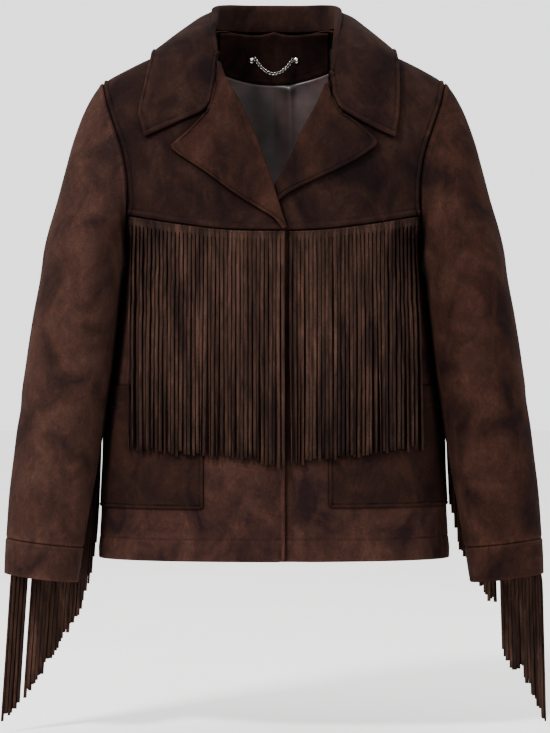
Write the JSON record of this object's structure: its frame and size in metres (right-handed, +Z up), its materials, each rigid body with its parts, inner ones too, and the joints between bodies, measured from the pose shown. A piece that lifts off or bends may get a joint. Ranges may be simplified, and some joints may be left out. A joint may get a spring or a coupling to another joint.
{
  "type": "fringed suede jacket",
  "caption": "Fringed suede western jacket, open at the neck, with notched lapels, a fringed front yoke, fringed sleeves, patch pockets and a chain hanger loop.",
  "frame": {"origin": "between the wearer's shoulders, on the middle of the jacket, level with the shoulder seams at the neck", "axes": "+X towards the wearer's left, +Z up, and the front faces -Y"},
  "size_m": [0.6437, 0.2165, 0.858],
  "materials": {
    "suede": "dark brown suede with a soft, patchy nap",
    "satin_lining": "smooth satin weave, grey brown",
    "steel": "bright plated steel"
  },
  "bodies": {
    "jacket": {"back": "suede", "yoke_right": "suede", "yoke_left": "suede", "front_right": "suede", "front_left": "suede", "lapel_right": "suede", "lapel_left": "suede", "collar": "suede", "neck_facing": "suede", "top_sleeve_right": "suede", "top_sleeve_left": "suede", "under_sleeve_right": "suede", "under_sleeve_left": "suede", "cuff_right": "suede", "cuff_left": "suede", "pocket_right": "suede", "pocket_left": "suede", "fringe_chest_right": "suede", "fringe_chest_left": "suede", "fringe_sleeve_right": "suede", "fringe_sleeve_left": "suede", "back_lining": "satin_lining", "chain_rivet_right": "steel", "chain_rivet_left": "steel"},
    "chain": {"hanger_chain": "steel"}
  },
  "joints": [
    {"name": "chain_swing", "type": "hinge", "parent": "jacket", "child": "chain", "pos_m": [0, 0.06444, -0.0115], "axis": [-1, 0, 0], "range_deg": [0, 110]}
  ]
}
